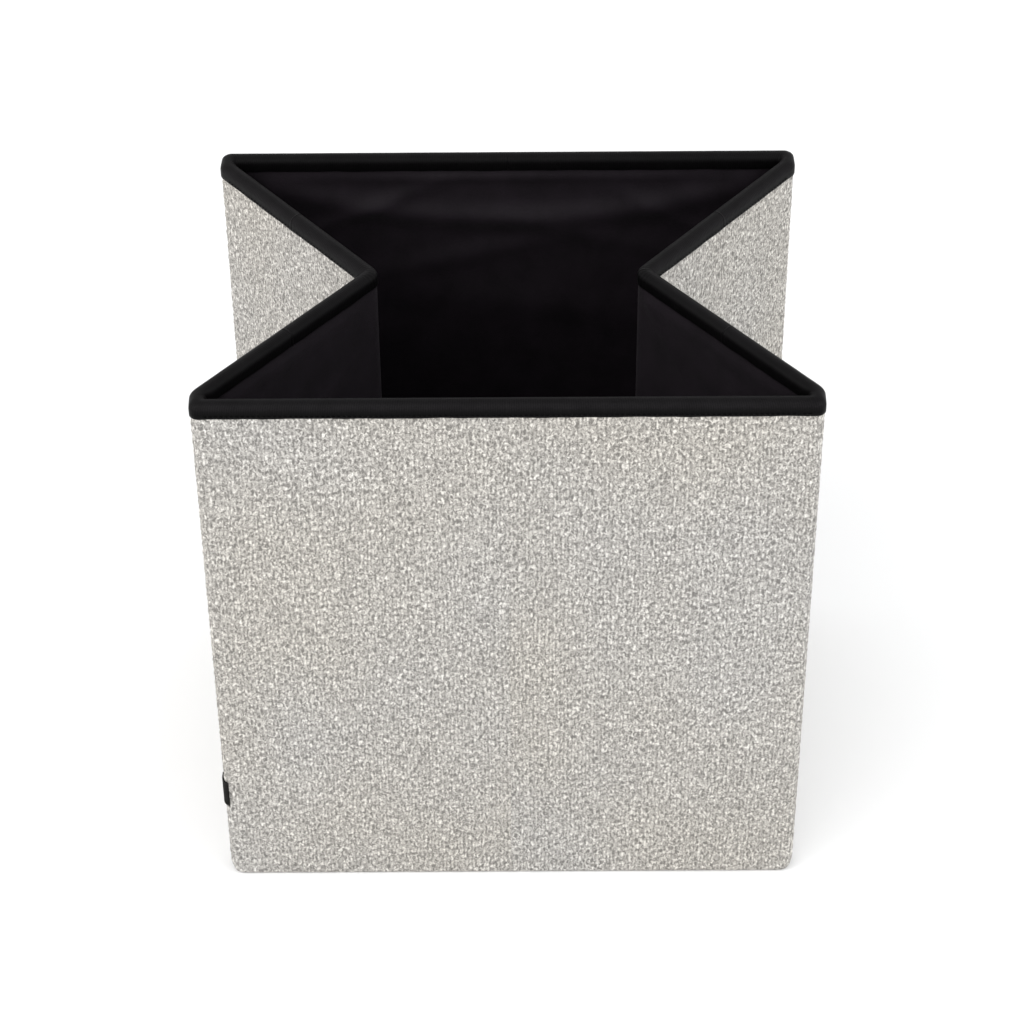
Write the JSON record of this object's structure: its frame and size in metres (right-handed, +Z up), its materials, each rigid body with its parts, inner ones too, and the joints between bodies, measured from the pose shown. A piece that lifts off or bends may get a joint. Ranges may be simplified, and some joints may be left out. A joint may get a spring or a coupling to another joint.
{
  "type": "ottoman with storage",
  "caption": "Foldable storage ottoman body: fabric-covered board walls with a bound open rim, creased side walls part folded inwards, black lining and cloth base.",
  "frame": {"origin": "floor level, centre of the outline of the part-folded body", "axes": "+Z up, +Y towards the back wall, +X to the right seen from the front"},
  "size_m": [0.38, 0.2798, 0.4],
  "materials": {
    "cover_fabric": "nubbly boucle weave, light warm grey, matte",
    "binding_tape": "black woven binding tape, slight satin",
    "lining_cloth": "black non-woven lining, matte",
    "base_cloth": "black non-woven cloth, matte",
    "board": "raw grey-brown board",
    "label": "black woven ribbon, blank"
  },
  "bodies": {
    "front": {"front_board": "board", "front_cover": "cover_fabric", "front_lining": "lining_cloth", "front_binding": "binding_tape", "front_left_corner_hinge": "lining_cloth", "front_right_corner_hinge": "lining_cloth", "label_tab": "label"},
    "back": {"back_board": "board", "back_cover": "cover_fabric", "back_lining": "lining_cloth", "back_binding": "binding_tape", "back_left_corner_hinge": "lining_cloth", "back_right_corner_hinge": "lining_cloth"},
    "left_front": {"left_front_board": "board", "left_front_cover": "cover_fabric", "left_front_lining": "lining_cloth", "left_front_binding": "binding_tape", "base_gusset_left_front": "base_cloth", "left_valley_hinge": "lining_cloth"},
    "left_back": {"left_back_board": "board", "left_back_cover": "cover_fabric", "left_back_lining": "lining_cloth", "left_back_binding": "binding_tape", "base_gusset_left_back": "base_cloth"},
    "right_front": {"right_front_board": "board", "right_front_cover": "cover_fabric", "right_front_lining": "lining_cloth", "right_front_binding": "binding_tape", "base_gusset_right_front": "base_cloth", "right_valley_hinge": "lining_cloth"},
    "right_back": {"right_back_board": "board", "right_back_cover": "cover_fabric", "right_back_lining": "lining_cloth", "right_back_binding": "binding_tape", "base_gusset_right_back": "base_cloth"},
    "base_front_half": {"base_front": "base_cloth"},
    "base_back_half": {"base_back": "base_cloth"}
  },
  "joints": [
    {"name": "left_front_fold", "type": "hinge", "parent": "front", "child": "left_front", "pos_m": [-0.181, -0.12691, 0.2], "axis": [0, 0, -1], "range_deg": [-38.5, 48], "deforming": ["base_gusset_left_front"]},
    {"name": "left_valley_fold", "type": "hinge", "parent": "left_front", "child": "left_back", "pos_m": [-0.09155, 0, 0.2], "axis": [0, 0, 1], "range_deg": [-77, 96], "deforming": ["base_gusset_left_back"]},
    {"name": "left_back_fold", "type": "hinge", "parent": "left_back", "child": "back", "pos_m": [-0.181, 0.12691, 0.2], "axis": [0, 0, -1], "range_deg": [-38.5, 48]},
    {"name": "right_front_fold", "type": "hinge", "parent": "front", "child": "right_front", "pos_m": [0.181, -0.12691, 0.2], "axis": [0, 0, 1], "range_deg": [-38.5, 48], "deforming": ["base_gusset_right_front"]},
    {"name": "right_back_fold", "type": "hinge", "parent": "back", "child": "right_back", "pos_m": [0.181, 0.12691, 0.2], "axis": [0, 0, -1], "range_deg": [-38.5, 48], "deforming": ["base_gusset_right_back"]},
    {"name": "base_front_fold", "type": "hinge", "parent": "front", "child": "base_front_half", "pos_m": [0, -0.12941, 0.0013], "axis": [1, 0, 0], "range_deg": [-38.5, 48]},
    {"name": "base_back_fold", "type": "hinge", "parent": "back", "child": "base_back_half", "pos_m": [0, 0.12941, 0.0013], "axis": [-1, 0, 0], "range_deg": [-38.5, 48]}
  ],
  "couplings": [
    {"joint": "left_valley_fold", "follows": "left_front_fold", "ratio": 2},
    {"joint": "left_back_fold", "follows": "left_front_fold", "ratio": 1},
    {"joint": "right_front_fold", "follows": "left_front_fold", "ratio": 1},
    {"joint": "right_back_fold", "follows": "left_front_fold", "ratio": 1},
    {"joint": "base_front_fold", "follows": "left_front_fold", "ratio": 1},
    {"joint": "base_back_fold", "follows": "left_front_fold", "ratio": 1}
  ]
}
